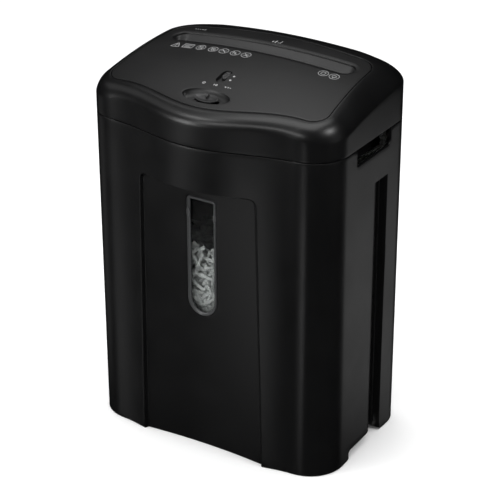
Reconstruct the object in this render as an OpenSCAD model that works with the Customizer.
// Cross-cut paper shredder: a waste bin with a lift-off cutter head.
// Millimetres. +Z is up, -Y is the front, the origin is under the middle of the bin.

/* [Bin] */
// Width of the bin and head across the front
body_w = 330; // [326:1:334]
// Depth of the bin between its flat front and rear faces, without the bowed front
body_d = 202; // [200:1:206]
// Height of the seam between the bin and the head
seam_z = 393; // [388:1:400]
// How far the middle of the front bows out
bulge = 24.7; // [22:0.1:27]
// Thickness of the moulded walls
wall = 3; // [2.5:0.1:3.5]
// Height of the bin's floor above the ground
floor_z = 21; // [20:1:26]

/* [Front window] */
// Width of the window
window_w = 38.8; // [34:0.1:42]
// Height of the window
window_h = 147; // [120:1:150]

/* [Head] */
// Height of the head's top above the seam
head_h = 72.8; // [72:0.1:75]
// Length of the paper slot's mouth
slot_w = 241; // [236:1:243]
// Clear width of the paper throat, across its gap
throat_gap = 6; // [5:0.5:7]
// How far the head lifts to come clear of the bin
lift_travel = 60; // [50:1:120]

/* [Cutters] */
// Radius of a cutter disc
disc_r = 18.2; // [18:0.1:18.4]
// Distance between the cutter shafts
shaft_gap = 33.6; // [33.4:0.1:34]
// Distance from one disc to the next on a shaft
disc_pitch = 8; // [8:0.1:8.1]
// Thickness of a cutter disc
disc_t = 3.6; // [3.2:0.1:3.7]

/* [Controls] */
// Length of the mode control's recess
mode_recess_l = 61; // [60:1:66]
// Length of the safety lock's recess
lock_recess_l = 24; // [23:1:26]

/* [Hidden] */
$fn = 64;
eps = 0.01;
hull_fn = 24;

black = [0.07, 0.07, 0.075];
dark_grey = [0.16, 0.16, 0.17];
steel = [0.62, 0.63, 0.65];

// ---- plan outlines ----
half_w = body_w / 2;
taper = 7;
front_y = -body_d / 2 + 12.4;
rear_y = front_y + body_d;
front_r = 43;
rear_r = 36;
bulge_half = 130;
front_draft = 2;
bin_gap = 0.4;

// A cosine bump: 1 at the middle, 0 at w and beyond.
function bump(x, w) = abs(x) >= w ? 0 : (1 + cos(180 * x / w)) / 2;

// Right half of a rounded trapezoid, from the middle of the front to the middle of the rear.
function half_outline(wf, wr, yf, yr, rf, rr) =
    let (a = atan((wf - wr) / (yr - yf)),
         fx = wf - rf * tan(a) - rf / cos(a),
         rx = wf - (yr - rr - yf) * tan(a) - rr / cos(a))
    concat(
        [for (i = [0 : 14]) [fx * i / 15, yf]],
        [for (i = [0 : 8]) let (t = -90 + (90 + a) * i / 8) [fx + rf * cos(t), yf + rf + rf * sin(t)]],
        [for (i = [0 : 7]) let (t = a + (90 - a) * i / 7) [rx + rr * cos(t), yr - rr + rr * sin(t)]],
        [for (i = [1 : 6]) [rx * (1 - i / 6), yr]]);

// The whole outline, bowed out at the front by b and at the rear by c.
function bowed(p, yf, yr, wr, b, c) =
    p[1] < (yf + yr) / 2 ? [p[0], p[1] - b * bump(p[0], bulge_half)] : [p[0], p[1] + c * bump(p[0], wr)];
function outline(wf, wr, yf, yr, rf, rr, b, c) =
    let (h = half_outline(wf, wr, yf, yr, rf, rr), n = len(h))
    [for (p = concat(h, [for (i = [n - 2 : -1 : 1]) [-h[i][0], h[i][1]]])) bowed(p, yf, yr, wr, b, c)];

// Outline of the bin and head at the seam, moved in by t, with the front moved back by d.
function body_outline(t, d = 0) =
    outline(half_w - t, half_w - taper - t, front_y + t + d, rear_y - t, front_r - t, rear_r - t, bulge, 0);

// Outline of the inset top panel, moved in by t.
panel_front_y = front_y + 18.6;
panel_rear_y = rear_y - 39.3;
function panel_outline(t) =
    outline(half_w - 20.4 - t, half_w - 31.6 - t, panel_front_y + t, panel_rear_y - t,
        19 - t / 2, 27 - t / 2, bulge, 7.6);

// ---- domed top ----
peak_z = seam_z + head_h;
peak_y = rear_y - 36;
dome_rx = 1092;
dome_ry = 460;
function top_z(x, y) = peak_z - x * x / (2 * dome_rx) - pow(y - peak_y, 2) / (2 * dome_ry);
function top_tilt(y) = asin((peak_y - y) / dome_ry);

panel_t = 3;
panel_gap = 0.2;
round_h = 16;
round_steps = 6;

// Closed solid through rings of equal point count, each ring a list of [x, y, z].
module rings_solid(rings) {
    n = len(rings[0]);
    m = len(rings);
    points = [for (r = rings) for (p = r) p];
    sides = [for (k = [0 : m - 2]) for (i = [0 : n - 1]) let (j = (i + 1) % n)
        each [[k * n + i, (k + 1) * n + i, (k + 1) * n + j], [k * n + i, (k + 1) * n + j, k * n + j]]];
    bottom = [[for (i = [0 : n - 1]) i]];
    top = [for (i = [0 : n - 1]) [m * n, (m - 1) * n + (i + 1) % n, (m - 1) * n + i]];
    mid_z = max([for (p = rings[m - 1]) p[2]]);
    polyhedron(points = concat(points, [[0, 0, mid_z]]), faces = concat(bottom, sides, top), convexity = 6);
}
function ring(outline2d, z) = [for (p = outline2d) [p[0], p[1], z]];

// Everything under the domed top, lowered by drop.
module under_dome(drop) {
    nx = 24;
    ny = 18;
    x0 = -170;
    y0 = -128;
    dx = -2 * x0 / nx;
    dy = -2 * y0 / ny;
    low = 320;
    grid = [for (j = [0 : ny]) for (i = [0 : nx]) let (x = x0 + i * dx, y = y0 + j * dy)
        [x, y, top_z(x, y) - drop]];
    w = nx + 1;
    base = len(grid);
    corners = [[x0, y0, low], [-x0, y0, low], [-x0, -y0, low], [x0, -y0, low]];
    faces = [for (j = [0 : ny - 1]) for (i = [0 : nx - 1]) let (a = j * w + i)
        each [[a, a + w, a + w + 1], [a, a + w + 1, a + 1]]];
    front = concat([base], [for (i = [0 : nx]) i], [base + 1]);
    rear = concat([base + 2], [for (i = [nx : -1 : 0]) ny * w + i], [base + 3]);
    left = concat([base + 3], [for (j = [ny : -1 : 0]) j * w], [base]);
    right = concat([base + 1], [for (j = [0 : ny]) j * w + nx], [base + 2]);
    polyhedron(points = concat(grid, corners),
        faces = concat(faces, [front, rear, left, right, [base, base + 1, base + 2, base + 3]]),
        convexity = 4);
}

// ---- small helpers ----
module box(lo, hi) { translate(lo) cube(hi - lo); }
module rod(x0, x1, y, z, r) { translate([x0, y, z]) rotate([0, 90, 0]) cylinder(h = x1 - x0, r = r); }
// Extrudes a drawing made in the Y-Z plane from x0 to x1.
module across(x0, x1, y = 0, z = 0) {
    translate([x0, y, z]) rotate([90, 0, 90]) linear_extrude(x1 - x0) children();
}
// Extrudes a drawing made in the X-Z plane from y0 back to y1.
module through(y0, y1) { translate([0, y1, 0]) rotate([90, 0, 0]) linear_extrude(y1 - y0) children(); }
// A bar with round ends along Y, as one hull.
module pill_y(len_y, w, h) {
    hull() for (s = [-1, 1]) translate([0, s * (len_y - w) / 2, 0]) cylinder(h = h, r = w / 2, $fn = hull_fn);
}
// A lens outline of length l and width w, drawn as an ellipse.
module lens(l, w) { polygon([for (i = [0 : 35]) [l / 2 * cos(10 * i), w / 2 * sin(10 * i)]]); }

// ---- gears ----
function inv(a) = tan(a) * 180 / PI - a;
function polar(r, a) = [r * cos(a), r * sin(a)];
// Involute gear of module m with n teeth, thinned for backlash. A tooth points along angle 0.
module gear2d(m, n) {
    r = m * n / 2;
    rb = r * cos(20);
    ro = r + 0.88 * m;
    ri = r - 1.2 * m;
    half = 90 / n * 0.88;
    rs = [for (k = [0 : 3]) max(rb, ri) + (ro - max(rb, ri)) * k / 3];
    polygon([for (i = [0 : n - 1]) let (c = 360 * i / n) each concat(
        [polar(ri, c - half - inv(20))],
        [for (q = rs) polar(q, c - (half + inv(20) - inv(acos(min(1, rb / q)))))],
        [for (k = [3 : -1 : 0]) let (q = rs[k]) polar(q, c + (half + inv(20) - inv(acos(min(1, rb / q)))))],
        [polar(ri, c + half + inv(20))])]);
}
module gear(x0, x1, at, m, n, turn) { across(x0, x1, at[0], at[1]) rotate(turn) gear2d(m, n); }

// ---- cutter block layout, in the Y-Z plane ----
paper_y = 31;
cutter_z = 402;
front_axis = [paper_y - shaft_gap / 2, cutter_z];
rear_axis = [paper_y + shaft_gap / 2, cutter_z];
discs = 28;
cut_half = discs * disc_pitch / 2;
core_r = 12;
shaft_r = 5;
run_fit = 0.05;
plate_x = 116;
plate_t = 2;
left_end_x = -129.5;
gear_x = 121;

sync_teeth = 24;
sync_m = shaft_gap / sync_teeth;
drive_m = 1.25;
drive_teeth = 44;
low_pinion_teeth = 14;
mid_m = 0.8;
low_wheel_teeth = 48;
high_pinion_teeth = 14;
fine_m = 0.6;
high_wheel_teeth = 54;
motor_pinion_teeth = 12;

low_reach = drive_m * (drive_teeth + low_pinion_teeth) / 2;
high_reach = mid_m * (low_wheel_teeth + high_pinion_teeth) / 2;
motor_reach = fine_m * (high_wheel_teeth + motor_pinion_teeth) / 2;
low_dir = 156;
high_dir = 190;
motor_dir = 262;
low_axis = front_axis + polar(low_reach, low_dir);
high_axis = low_axis + polar(high_reach, high_dir);
motor_axis = high_axis + polar(motor_reach, motor_dir);
low_pin_r = 3;
high_pin_r = 2.5;

rod_r = 4;
rod_spots = [for (y = [front_axis[0] - 18.2, rear_axis[0] + 18.2]) for (z = [384, 420]) [y, z]];

// ---- head base layout ----
base_t = 2.5;
tub_z = 358;
tub_front = [150, -82, -30];
tub_rear = [132, -30, 84];
tub_r = 32;
pocket_y = [-23, 59];
screw_spots = [for (s = [-1, 1]) for (p = [[148, 84], [152, -26], [45, -93]]) [s * p[0], p[1]]];
plunger_at = [-154, -58];
inlet_at = [-100, 405];

// ---- bin ----
handle_z = 373;
channel_y = [20, 54];
channel_depth = 9;
channel_top = 338;
shield_top = 341;
shield_half = [84, 78];
arch_y = [-26, 42, 60];
arch_z = 12;
foot_x = [-120, 120];
foot_y = [-45, 80];
foot_r = 8;
window_y = -86;
window_top = 322;

// Plan of the scooped front panel: everything in front of a shallow curve.
function scoop(w, mid_y, sag, t) = concat(
    [for (i = [8 : -1 : -8]) let (x = (w + t) * i / 8) [x, mid_y + t - sag * pow(x / (w + t), 2)]],
    [[-w - t, -140], [w + t, -140]]);
module shield_cut(t) {
    low = scoop(shield_half[0], -84.5, 4.5, t);
    high = scoop(shield_half[1], -87.5, 6.5, t);
    n = len(low);
    zs = [-1, shield_top + t];
    faces = concat([[for (i = [0 : n - 1]) i]], [[for (i = [n - 1 : -1 : 0]) n + i]],
        [for (i = [0 : n - 1]) let (j = (i + 1) % n) each [[i, n + i, n + j], [i, n + j, j]]]);
    polyhedron(points = concat(ring(low, zs[0]), ring(high, zs[1])), faces = faces, convexity = 4);
}
// Plan of the groove down each side, with a rounded front edge, a sharp rear edge and a thin rib.
channel_round = 14;
rib_y = 45;
module channel_plan(t) {
    wall_x = half_w - taper / 2;
    floor_x = wall_x - channel_depth - t;
    front = channel_y[0] - t;
    edge = [for (a = [30 : 15 : 90])
        [wall_x - (channel_depth + t) * (1 - cos(a)), front + channel_round * sin(a)]];
    rib_top = floor_x + 3;
    rib = t > 0 ? []
        : [[floor_x, rib_y - 1], [rib_top, rib_y - 1], [rib_top, rib_y + 1], [floor_x, rib_y + 1]];
    rear = channel_y[1] + t;
    polygon(concat([[half_w + 9, edge[0][1]]], edge, rib, [[floor_x, rear], [half_w + 9, rear]]));
}
module both_sides() {
    children();
    mirror([1, 0, 0]) children();
}
module hand_hold() {
    hull() {
        box([150, pocket_y[0], 380], [175, pocket_y[1], seam_z + 5]);
        for (p = [[pocket_y[0] + 1.5, 1.5], [pocket_y[1] - 6, 6]]) translate([150, p[0], handle_z + p[1]])
            rotate([0, 90, 0]) cylinder(h = 25, r = p[1], $fn = hull_fn);
    }
}
module arch() {
    slope = (arch_y[2] - arch_y[1]) / arch_z;
    hull() for (p = [[arch_y[0] + 3, -10], [arch_y[0] + 3, arch_z - 3], [arch_y[1] - 2, arch_z - 3],
            [arch_y[1] - 2 + slope * (arch_z + 7), -10]])
        translate([140, p[0], p[1]]) rotate([0, 90, 0]) cylinder(h = 40, r = 3, $fn = hull_fn);
}
module window_plan(grow) {
    w = window_w / 2 + grow;
    low = window_top - window_h + window_w / 2;
    r = 4 + grow;
    translate([0, low]) circle(r = w);
    translate([-w, low]) square([2 * w, window_top - 4 - low]);
    translate([-w + r, low]) square([2 * (w - r), window_top + grow - low]);
    for (s = [-1, 1]) translate([s * (w - r), window_top + grow - r]) circle(r = r);
}
module bin_body() {
    color(black) difference() {
        rings_solid([ring(body_outline(0, front_draft), 0), ring(body_outline(0), seam_z - bin_gap)]);
        difference() {
            rings_solid([ring(body_outline(wall, front_draft), floor_z + wall),
                ring(body_outline(wall), seam_z + 10)]);
            shield_cut(wall);
            both_sides() translate([0, 0, -1]) linear_extrude(channel_top + wall + 1) channel_plan(wall);
            translate([plunger_at[0], plunger_at[1], 0]) box([-14, -4, 376], [4, 4, 384.6]);
        }
        // The hollow under the floor leaves a skirt all round and a foot boss near each corner.
        difference() {
            rings_solid([ring(body_outline(wall, front_draft), -1),
                ring(body_outline(wall, front_draft), floor_z)]);
            shield_cut(wall);
            both_sides() translate([0, 0, -2]) linear_extrude(floor_z + 3) channel_plan(wall);
            for (x = foot_x) for (y = foot_y) hull() for (dx = [-8, 8]) translate([x + dx, y, -2])
                cylinder(h = floor_z + 3, r = foot_r, $fn = hull_fn);
        }
        shield_cut(0);
        both_sides() {
            translate([0, 0, -1]) linear_extrude(channel_top + 1) channel_plan(0);
            hand_hold();
            arch();
        }
        through(-100, -70) window_plan(0.2);
    }
}
module window_bezel() {
    color([0.55, 0.56, 0.58]) difference() {
        through(window_y - 2.6, window_y + 3.5) window_plan(0);
        through(window_y - 3, window_y) window_plan(-3.6);
        through(window_y - eps, window_y + 4) window_plan(-2.2);
    }
}
module window_pane() { color([0.75, 0.78, 0.8, 0.35]) through(window_y, window_y + 2) window_plan(-2.3); }

// ---- head shells ----
// Closed skin through rings that come back round to the first one.
module rings_loop(rings) {
    n = len(rings[0]);
    m = len(rings);
    polyhedron(points = [for (r = rings) each r], faces = [for (k = [0 : m - 1]) for (i = [0 : n - 1])
        let (j = (i + 1) % n, up = (k + 1) % m)
        each [[k * n + i, up * n + i, up * n + j], [k * n + i, up * n + j, k * n + j]]], convexity = 8);
}
// A ring that follows the dome, drop below it.
function dome_ring(p, drop) = [for (q = p) [q[0], q[1], top_z(q[0], q[1]) - drop]];
// A ring part of the way, at angle a, round the edge from wall outline s to panel outline p.
function round_ring(s, p, drop, a) = [for (i = [0 : len(s) - 1]) [
    s[i][0] + (p[i][0] - s[i][0]) * (1 - cos(a)),
    s[i][1] + (p[i][1] - s[i][1]) * (1 - cos(a)),
    top_z(p[i][0], p[i][1]) - drop - round_h * (1 - sin(a))]];
ledge_w = 4;
ledge_t = 2.5;
panel_seat = panel_t + 0.15;
module head_skin() {
    outer = body_outline(0);
    inner = body_outline(wall);
    rim = panel_outline(-panel_gap);
    lip = panel_outline(ledge_w);
    outer_rings = [for (k = [0 : round_steps]) round_ring(outer, rim, 0, 90 * k / round_steps)];
    inner_rings = [for (k = [3 : -1 : 0]) round_ring(inner, lip, panel_seat + ledge_t, 90 * k / 3)];
    rings_loop(concat([ring(outer, seam_z)], outer_rings,
        [dome_ring(rim, panel_seat), dome_ring(lip, panel_seat)],
        inner_rings, [ring(inner, seam_z)]));
}
// A screw post under the cover, joined to the nearest wall by a web.
module screw_post(p) {
    web_turn = abs(p[0]) > 100 ? (p[0] > 0 ? 0 : 180) : -90;
    translate([p[0], p[1], seam_z + base_t + 0.3]) hull() {
        cylinder(h = 14, r = 4.2, $fn = hull_fn);
        rotate(web_turn) translate([7, -1.5, 0]) cube([post_reach(p), 3, 14]);
    }
}
// How far a post's web runs to end inside the wall.
function post_reach(p) = abs(p[0]) > 100 ? half_w - taper * (p[1] - front_y) / body_d - 1 - abs(p[0]) - 7
    : abs(front_y - bulge * bump(p[0], bulge_half) - p[1]) - 1 - 7;
module head_cover() {
    color(black) difference() {
        union() {
            head_skin();
            for (p = screw_spots) screw_post(p);
        }
        for (p = screw_spots) hull() translate([p[0], p[1], seam_z - 1]) cylinder(h = 13, r = 1.85, $fn = 16);
        translate([inlet_at[0], rear_y + 1, inlet_at[1]]) rotate([90, 0, 0])
            cylinder(h = 12, r = 6.1, $fn = 32);
    }
}
// Places children on the top surface at y, with local Z as the surface normal.
module on_top(y) { translate([0, y, top_z(0, y)]) rotate([top_tilt(y), 0, 0]) children(); }
mode_y = -76;
lock_y = -38;
mode_recess_w = 23;
lock_recess_w = 12;
mode_depth = 7;
mode_travel = 12;
lock_travel = 8;
slot_front_y = 27;
slot_rear_y = 53;
module slot_mouth(h, inset) {
    r = (slot_rear_y - slot_front_y) / 2;
    hull() for (s = [-1, 1]) translate([s * (slot_w / 2 - r), slot_front_y + r, 0])
        cylinder(h = h, r = r - inset, $fn = 32);
}
module top_panel() {
    color(black) difference() {
        union() {
            difference() {
                intersection() {
                    translate([0, 0, 400]) linear_extrude(80) polygon(panel_outline(panel_gap));
                    under_dome(0);
                }
                under_dome(panel_t);
            }
            on_top(mode_y) translate([0, 0, -mode_depth - 2]) linear_extrude(mode_depth + 1)
                lens(mode_recess_l + 4, mode_recess_w + 4);
            on_top(lock_y) translate([0, 0, -6]) pill_y(lock_recess_l + 4, lock_recess_w + 4, 5);
        }
        translate([0, 0, 440]) slot_mouth(40, 0);
        on_top(mode_y) {
            // The recess narrows as it goes down.
            for (k = [0 : 5]) hull() translate([0, 0, -mode_depth + k * 1.2]) linear_extrude(mode_depth + 2)
                lens(mode_recess_l - 2.5 + k / 2, mode_recess_w - 2.5 + k / 2);
            box([-mode_travel - 3.5, -2, -mode_depth - 5], [mode_travel + 3.5, 2, 0]);
        }
        on_top(lock_y) {
            translate([0, 0, -4]) pill_y(lock_recess_l, lock_recess_w, 8);
            box([-1.6, -lock_travel / 2 - 4.5, -10], [1.6, lock_travel / 2 + 4.5, 0]);
        }
    }
}
// Funnel from the slot's mouth down to the cutters.
guide_low = 422;
shelf_z = 424.6;
throat_half = cut_half + 1;
sensor_at = [60, 436];
module throat_guide() {
    throat = [paper_y - throat_gap / 2, paper_y + throat_gap / 2];
    color(dark_grey) difference() {
        union() {
            intersection() {
                translate([0, 0, guide_low]) slot_mouth(60, -2.5);
                under_dome(panel_t);
            }
            for (s = [0, 1]) mirror([s, 0, 0]) box([4.2, 50, shelf_z], [6.7, 64, 440]);
            box([-6.7, 50, shelf_z], [6.7, 79, shelf_z + 2]);
        }
        hull() {
            translate([0, 0, 466]) slot_mouth(1, 0);
            translate([-throat_half, throat[0], 434]) cube([2 * throat_half, throat_gap, 1]);
        }
        box([-throat_half, throat[0], 400], [throat_half, throat[1], 435]);
        box([-3.8, 32, 420], [3.8, 57, 442]);
        box([-3.8, 40, shelf_z + 2], [3.8, 66, 442]);
        rod(-9, 9, sensor_at[0], sensor_at[1], 1.6, $fn = hull_fn);
        // The lower part fits between the side plates.
        for (s = [0, 1]) mirror([s, 0, 0]) box([plate_x - 0.4, 20, 400], [140, 60, 434]);
    }
}
module tub_plan(t) {
    translate([-tub_front[0] + t, tub_front[1] + tub_r])
        square([2 * (tub_front[0] - t), tub_front[2] - t - tub_front[1] - tub_r]);
    translate([-tub_front[0] + tub_r, tub_front[1] + t]) square([2 * (tub_front[0] - tub_r), 40]);
    for (s = [-1, 1]) translate([s * (tub_front[0] - tub_r), tub_front[1] + tub_r]) circle(r = tub_r - t);
    translate([-tub_rear[0] + t, tub_rear[1] - 10])
        square([2 * (tub_rear[0] - t), tub_rear[2] - t - tub_rear[1] + 10]);
}
module head_base() {
    color(dark_grey) difference() {
        union() {
            translate([0, 0, seam_z]) linear_extrude(base_t) polygon(body_outline(wall + 0.4));
            translate([0, 0, tub_z]) linear_extrude(seam_z + base_t - tub_z) tub_plan(0);
        }
        translate([0, 0, tub_z + base_t]) linear_extrude(60) tub_plan(base_t);
        box([-cut_half, 8, tub_z - 1], [cut_half, 54, tub_z + base_t + 1]);
        for (p = screw_spots) translate([p[0], p[1], seam_z - 1]) cylinder(h = base_t + 2, r = 2);
        translate([plunger_at[0], plunger_at[1], seam_z - 1]) cylinder(h = base_t + 2, r = 2.6);
    }
}
module cord_inlet() {
    color(black) translate([inlet_at[0], rear_y - 0.2, inlet_at[1]]) rotate([90, 0, 0]) difference() {
        union() {
            cylinder(h = 9, r = 6);
            translate([0, 0, wall + 0.4]) cylinder(h = 3, r = 8);
        }
        translate([0, 0, -1]) cylinder(h = 12, r = 3.6);
    }
}
module housing_screws() {
    color(steel) for (p = screw_spots) translate([p[0], p[1], 0]) {
        translate([0, 0, seam_z - 2.4]) cylinder(h = 2.4, r = 3.4);
        translate([0, 0, seam_z - 0.5]) cylinder(h = 11.5, r = 1.75);
    }
}

// ---- controls ----
module mode_slider() {
    color(dark_grey) on_top(mode_y) {
        difference() {
            translate([0, 0, -6.6]) linear_extrude(4.6) lens(30, 13);
            translate([0, 0, -2.9]) linear_extrude(2) lens(24, 6);
        }
        translate([-1.2, 1, -3]) cube([2.4, 5.5, 2.6]);
        box([-3, -1.6, -12.5], [3, 1.6, -6.5]);
    }
}
module mode_switch() {
    color([0.1, 0.1, 0.12]) on_top(mode_y) difference() {
        box([-24, -6, -21], [24, 6, -mode_depth - 2.3]);
        box([-mode_travel - 3.5, -2.2, -13.5], [mode_travel + 3.5, 2.2, -8]);
    }
}
lock_rest = 4;
module lock_slider() {
    color(dark_grey) on_top(lock_y) translate([0, lock_rest, 0]) {
        difference() {
            translate([0, 0, -3.6]) linear_extrude(3.4) {
                square([9.4, 6], center = true);
                for (s = [-1, 1]) translate([0, s * 2.2]) circle(r = 4.7);
            }
            for (k = [-2 : 2]) box([-6, 2.2 * k - 0.4, -1], [6, 2.2 * k + 0.4, 1]);
        }
        box([-1.3, -4, -9.5], [1.3, 4, -3.5]);
    }
}
module lock_switch() {
    color([0.1, 0.1, 0.12]) on_top(lock_y) difference() {
        box([-8, -14, -18], [8, 14, -6.3]);
        box([-1.7, -lock_travel / 2 - 5, -10.5], [1.7, lock_travel / 2 + 5, -6]);
    }
}

// ---- cutter block ----
// Both side plates are notched at the top for the throat guide.
module guide_notch(x) { box([x - 1, 20, guide_low - 1], [x + plate_t + 1, 60, 450]); }
module left_side_plate() {
    color(steel) difference() {
        box([-plate_x - plate_t, -13, 376], [-plate_x, 75, 430]);
        guide_notch(-plate_x - plate_t);
        for (a = [front_axis, rear_axis]) rod(-plate_x - 3, -plate_x + 1, a[0], a[1], 8 + run_fit);
        for (p = rod_spots) rod(-plate_x - 3, -plate_x + 1, p[0], p[1], 2.1);
    }
}
module right_side_plate() {
    color(steel) difference() {
        union() {
            box([plate_x, -13, 376], [plate_x + plate_t, 75, 430]);
            box([plate_x, -74, 366], [plate_x + plate_t, -13, 426.5]);
            box([plate_x, -13, 376], [plate_x + plate_t, 5, 440]);
        }
        guide_notch(plate_x);
        for (a = [front_axis, rear_axis]) rod(plate_x - 1, plate_x + 3, a[0], a[1], 8 + run_fit);
        for (p = rod_spots) rod(plate_x - 1, plate_x + 3, p[0], p[1], 2.1);
        rod(plate_x - 1, plate_x + 3, motor_axis[0], motor_axis[1], 7);
        rod(plate_x - 1, plate_x + 3, low_axis[0], low_axis[1], low_pin_r + run_fit);
        rod(plate_x - 1, plate_x + 3, high_axis[0], high_axis[1], high_pin_r + run_fit);
        for (s = [-1, 1]) rod(plate_x - 1, plate_x + 3, motor_axis[0] + 18 * s, motor_axis[1], 2.1);
        for (p = spacer_spots) rod(plate_x - 1, plate_x + 3, p[0], p[1], 1.6);
    }
}
module tie_rods() {
    color(steel) for (p = rod_spots) difference() {
        rod(-plate_x, plate_x, p[0], p[1], rod_r);
        for (s = [-1, 1]) rod(s * (plate_x - 6) - 6.5, s * (plate_x - 6) + 6.5, p[0], p[1], 1.6);
    }
}
module tie_rod_screws() {
    color(steel) for (p = rod_spots) for (s = [0, 1]) mirror([s, 0, 0]) {
        rod(plate_x + plate_t, plate_x + plate_t + 2, p[0], p[1], 3.6);
        rod(plate_x - 8, plate_x + plate_t + 0.5, p[0], p[1], 1.55);
    }
}
module cutter_bushes() {
    color([0.72, 0.55, 0.3])
    for (a = [front_axis, rear_axis]) for (s = [0, 1]) mirror([s, 0, 0]) difference() {
        union() {
            rod(plate_x, plate_x + 3.5, a[0], a[1], 8);
            rod(plate_x - 1.5, plate_x, a[0], a[1], 10);
        }
        rod(plate_x - 3, plate_x + 5, a[0], a[1], shaft_r + run_fit);
    }
}
// One disc: hooked teeth round its rim.
disc_teeth = 12;
module disc2d() {
    step = 360 / disc_teeth;
    polygon([for (i = [0 : disc_teeth - 1]) each
        [polar(disc_r, step * i), polar(disc_r - 1.6, step * i + 4), polar(disc_r, step * (i + 0.8))]]);
}
module roller(at, first, x0, x1) {
    color(steel) {
        rod(x0, x1, at[0], at[1], shaft_r);
        rod(-cut_half - 1.5, cut_half + 1.5, at[0], at[1], core_r);
        for (k = [0 : discs - 1]) gear_disc(first + disc_pitch * k, at, 7 * k);
    }
}
module gear_disc(x, at, turn) { across(x, x + disc_t, at[0], at[1]) rotate(turn) disc2d(); }
side_gap = (disc_pitch / 2 - disc_t) / 2;
module front_cutter() { roller(front_axis, -cut_half + side_gap, left_end_x, 131.5); }
module rear_cutter() { roller(rear_axis, -cut_half + disc_pitch / 2 + side_gap, left_end_x, gear_x); }

// A comb: one bar with a finger in every gap between the discs of its roller.
module comb(at, side, first) {
    bar_y = at[0] + side * 23;
    tip_y = at[0] + side * (core_r + 0.7);
    color([0.2, 0.2, 0.21]) {
        box([-plate_x + 0.5, bar_y - 1.7, 389], [plate_x - 0.5, bar_y + 1.7, 415]);
        for (k = [0 : discs - 2]) {
            x = first + disc_t + disc_pitch * k + 0.5;
            box([x, min(bar_y, tip_y), 396], [x + disc_pitch - disc_t - 1, max(bar_y, tip_y), 408]);
        }
    }
}
module front_comb() { comb(front_axis, -1, -cut_half + side_gap); }
module rear_comb() { comb(rear_axis, 1, -cut_half + disc_pitch / 2 + side_gap); }

module sync_gear(at, turn) {
    difference() {
        gear(-gear_x - 7.5, -gear_x, at, sync_m, sync_teeth, turn);
        rod(-gear_x - 8, -gear_x + 1, at[0], at[1], shaft_r);
    }
}
module front_sync_gear() { color([0.35, 0.36, 0.38]) sync_gear(front_axis, 0); }
module rear_sync_gear() { color([0.35, 0.36, 0.38]) sync_gear(rear_axis, 180 + 180 / sync_teeth); }
module drive_gear() {
    color([0.82, 0.8, 0.74]) difference() {
        gear(gear_x, gear_x + 8, front_axis, drive_m, drive_teeth, low_dir);
        rod(gear_x - 1, gear_x + 9, front_axis[0], front_axis[1], shaft_r);
        for (a = [0 : 60 : 300]) let (p = front_axis + polar(16, a))
            rod(gear_x - 1, gear_x + 9, p[0], p[1], 5);
    }
}
low_wheel_x = 131;
high_wheel_x = 138;
module idler_gear_low() {
    color([0.85, 0.83, 0.76]) difference() {
        union() {
            gear(gear_x, gear_x + 8.5, low_axis, drive_m, low_pinion_teeth,
                low_dir + 180 + 180 / low_pinion_teeth);
            rod(gear_x + 8.4, low_wheel_x + eps, low_axis[0], low_axis[1], 6.5);
            gear(low_wheel_x, low_wheel_x + 5, low_axis, mid_m, low_wheel_teeth, high_dir);
        }
        rod(gear_x - 1, low_wheel_x + 6, low_axis[0], low_axis[1], low_pin_r + run_fit);
    }
}
module idler_gear_high() {
    color([0.85, 0.83, 0.76]) difference() {
        union() {
            gear(low_wheel_x, low_wheel_x + 5.5, high_axis, mid_m, high_pinion_teeth,
                high_dir + 180 + 180 / high_pinion_teeth);
            rod(low_wheel_x + 5.4, high_wheel_x + eps, high_axis[0], high_axis[1], 4.5);
            gear(high_wheel_x, high_wheel_x + 4, high_axis, fine_m, high_wheel_teeth, motor_dir);
        }
        rod(low_wheel_x - 1, high_wheel_x + 5, high_axis[0], high_axis[1], high_pin_r + run_fit);
    }
}
gear_plate_x = 144;
module idler_pins() {
    color(steel) {
        rod(plate_x, gear_plate_x + 1.5, low_axis[0], low_axis[1], low_pin_r);
        rod(plate_x, gear_plate_x + 1.5, high_axis[0], high_axis[1], high_pin_r);
    }
}
spacer_spots = [[-69.5, 411.5], [-60.5, 423.5], [-2, 434]];
module gear_plate() {
    color(steel) difference() {
        across(gear_plate_x, gear_plate_x + 1.5)
            polygon([[-73, 403], [-73, 413], [-63, 427], [-8, 438], [3, 438], [3, 428], [-12, 403]]);
        rod(gear_plate_x - 1, gear_plate_x + 3, low_axis[0], low_axis[1], low_pin_r + run_fit);
        rod(gear_plate_x - 1, gear_plate_x + 3, high_axis[0], high_axis[1], high_pin_r + run_fit);
        for (p = spacer_spots) rod(gear_plate_x - 1, gear_plate_x + 3, p[0], p[1], 1.6);
    }
}
module gear_plate_spacers() {
    color(steel) for (p = spacer_spots) {
        rod(plate_x + plate_t, gear_plate_x, p[0], p[1], 3);
        rod(plate_x - 1, gear_plate_x + 2.5, p[0], p[1], 1.5);
    }
}

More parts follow.
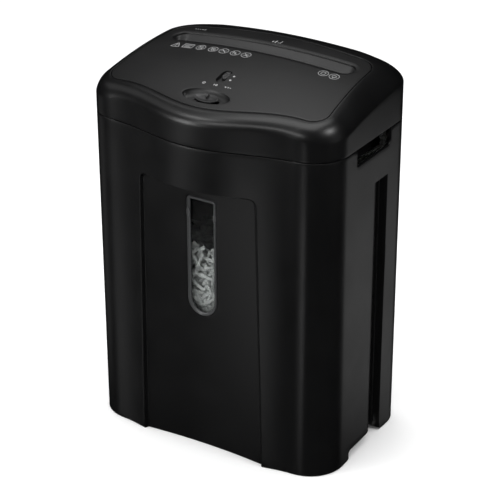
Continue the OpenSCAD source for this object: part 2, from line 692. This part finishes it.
// ---- motor ----
can_r = 28;
can_x = [22, 106];
rotor_r = 21.3;
motor_shaft_r = 3;
module motor_can() {
    color([0.5, 0.51, 0.53]) difference() {
        rod(can_x[0], can_x[1], motor_axis[0], motor_axis[1], can_r);
        rod(can_x[0] - 1, can_x[1] + 1, motor_axis[0], motor_axis[1], can_r - 1.5);
    }
}
module motor_magnets() {
    color([0.2, 0.2, 0.2]) for (s = [-1, 1]) intersection() {
        difference() {
            rod(36, 92, motor_axis[0], motor_axis[1], can_r - 1.5);
            rod(35, 93, motor_axis[0], motor_axis[1], 22);
        }
        translate([35, motor_axis[0] - 40, motor_axis[1] + s * 24 - 20]) cube([58, 80, 40]);
        box([35, motor_axis[0] - 22, 300], [93, motor_axis[0] + 22, 500]);
    }
}
module motor_end_cap() {
    color([0.12, 0.12, 0.13]) difference() {
        union() {
            rod(can_x[0] - 6, can_x[0], motor_axis[0], motor_axis[1], can_r);
            rod(can_x[0] - 1, can_x[0] + 4, motor_axis[0], motor_axis[1], can_r - 1.6);
        }
        rod(can_x[0] - 3, can_x[0] + 5, motor_axis[0], motor_axis[1], can_r - 5);
        rod(can_x[0] - 7, can_x[0] + 1, motor_axis[0], motor_axis[1], motor_shaft_r + run_fit);
    }
}
module motor_front_bell() {
    color([0.5, 0.51, 0.53]) difference() {
        union() {
            rod(can_x[1], plate_x, motor_axis[0], motor_axis[1], can_r);
            rod(can_x[1] - 4, can_x[1] + 1, motor_axis[0], motor_axis[1], can_r - 1.6);
            rod(plate_x - 1, plate_x + 2.5, motor_axis[0], motor_axis[1], 6.5);
        }
        rod(can_x[1] - 5, can_x[1] + 4, motor_axis[0], motor_axis[1], can_r - 5);
        rod(can_x[1], plate_x + 4, motor_axis[0], motor_axis[1], motor_shaft_r + run_fit);
        for (s = [-1, 1]) rod(can_x[1] + 3, plate_x + 1, motor_axis[0] + 18 * s, motor_axis[1], 1.6);
    }
}
module motor_screws() {
    color(steel) for (s = [-1, 1]) {
        rod(plate_x + plate_t, plate_x + plate_t + 2, motor_axis[0] + 18 * s, motor_axis[1], 3.6);
        rod(plate_x - 6, plate_x + plate_t + 0.5, motor_axis[0] + 18 * s, motor_axis[1], 1.55);
    }
}
module motor_rotor() {
    color([0.6, 0.42, 0.3]) {
        rod(4, high_wheel_x - 2, motor_axis[0], motor_axis[1], motor_shaft_r);
        rod(high_wheel_x - 3, high_wheel_x + 5, motor_axis[0], motor_axis[1], 2);
        rod(27, 34.5, motor_axis[0], motor_axis[1], 8);
        difference() {
            rod(38, 90, motor_axis[0], motor_axis[1], rotor_r);
            for (i = [0 : 11]) translate([0, motor_axis[0], motor_axis[1]]) rotate([30 * i, 0, 0])
                box([37, rotor_r - 7, -1], [91, rotor_r + 1, 1]);
        }
    }
}
module motor_fan() {
    color([0.15, 0.15, 0.16]) difference() {
        union() {
            rod(5, 12.5, motor_axis[0], motor_axis[1], 7);
            rod(11, 12.5, motor_axis[0], motor_axis[1], 23);
            for (i = [0 : 9]) translate([0, motor_axis[0], motor_axis[1]]) rotate([36 * i, 0, 0])
                box([5, 5, -0.8], [11.5, 23, 0.8]);
        }
        rod(4, 13, motor_axis[0], motor_axis[1], motor_shaft_r);
    }
}
module motor_pinion() {
    color([0.72, 0.55, 0.3]) difference() {
        gear(high_wheel_x - 1, high_wheel_x + 4.5, motor_axis, fine_m, motor_pinion_teeth,
            motor_dir + 180 + 180 / motor_pinion_teeth);
        rod(high_wheel_x - 2, high_wheel_x + 6, motor_axis[0], motor_axis[1], 2);
    }
}
module motor_brushes() {
    color([0.15, 0.15, 0.15]) for (s = [-1, 1])
        translate([28, motor_axis[0] + s * 15 - 6.7, motor_axis[1] - 2.5]) cube([5, 13.4, 5]);
}

// ---- sensors ----
module sensor_lever() {
    color([0.85, 0.85, 0.82]) difference() {
        union() {
            rod(-3.2, 3.2, sensor_at[0], sensor_at[1], 3.4);
            across(-2.2, 2.2) polygon([[60, 438.2], [30, 431.6], [29.4, 429.6], [31, 429], [60, 433.6]]);
            across(-2.2, 2.2) polygon([[60, 438.6], [73, 437.6], [73, 435], [60, 434]]);
        }
        rod(-5, 5, sensor_at[0], sensor_at[1], 1.5 + run_fit);
    }
}
module sensor_pin() { color(steel) rod(-7.5, 7.5, sensor_at[0], sensor_at[1], 1.5); }
module sensor_switch() { color([0.1, 0.1, 0.12]) box([-5, 66.5, shelf_z + 2], [5, 75.5, 433.4]); }
module interlock_plunger() {
    color([0.8, 0.8, 0.76]) translate([plunger_at[0], plunger_at[1], 0]) {
        translate([0, 0, 385]) cylinder(h = 20, r = 2.5);
        translate([0, 0, 397]) cylinder(h = 2, r = 3.6);
    }
}
module interlock_switch() {
    color([0.1, 0.1, 0.12]) translate([plunger_at[0], plunger_at[1], 0]) {
        box([-1.5, -5, 408], [6.5, 13, 418]);
        box([-0.5, 9, seam_z + base_t], [4.5, 13, 409]);
    }
}

// ---- electronics ----
board_y = 80;
module control_board() {
    color([0.1, 0.32, 0.16]) difference() {
        box([-110, board_y, seam_z + base_t], [0, board_y + 1.6, 440]);
        for (x = [-104, -6]) through(board_y - 1, board_y + 3) translate([x, 434]) circle(r = 1.7);
    }
}
module board_relay() { color([0.1, 0.15, 0.35]) box([-100, board_y + 1.6, 402], [-81, board_y + 17, 418]); }
module board_capacitor() {
    color([0.1, 0.1, 0.3]) translate([-66, board_y + 1.6, 412]) rotate([-90, 0, 0]) cylinder(h = 18, r = 7);
}
module board_transformer() {
    color([0.75, 0.65, 0.2]) {
        box([-52, board_y + 1.6, 402], [-28, board_y + 19, 426]);
    }
}
module board_terminals() {
    color([0.8, 0.8, 0.8]) for (k = [0 : 2])
        box([-22 + 7 * k, board_y + 1.6, 402], [-16.5 + 7 * k, board_y + 10, 412]);
}
module board_screws() {
    color(steel) for (x = [-104, -6]) {
        through(board_y + 1.6, board_y + 3.6) translate([x, 434]) circle(r = 3);
        through(board_y - 4, board_y + 2) translate([x, 434]) circle(r = 1.5);
    }
}

bin_body();
window_bezel();
window_pane();
head_cover();
top_panel();
throat_guide();
head_base();
cord_inlet();
housing_screws();
mode_slider();
mode_switch();
lock_slider();
lock_switch();
left_side_plate();
right_side_plate();
tie_rods();
tie_rod_screws();
cutter_bushes();
front_cutter();
rear_cutter();
front_comb();
rear_comb();
front_sync_gear();
rear_sync_gear();
drive_gear();
idler_gear_low();
idler_gear_high();
idler_pins();
gear_plate();
gear_plate_spacers();
motor_can();
motor_magnets();
motor_end_cap();
motor_front_bell();
motor_screws();
motor_rotor();
motor_fan();
motor_pinion();
motor_brushes();
sensor_lever();
sensor_pin();
sensor_switch();
interlock_plunger();
interlock_switch();
control_board();
board_relay();
board_capacitor();
board_transformer();
board_terminals();
board_screws();
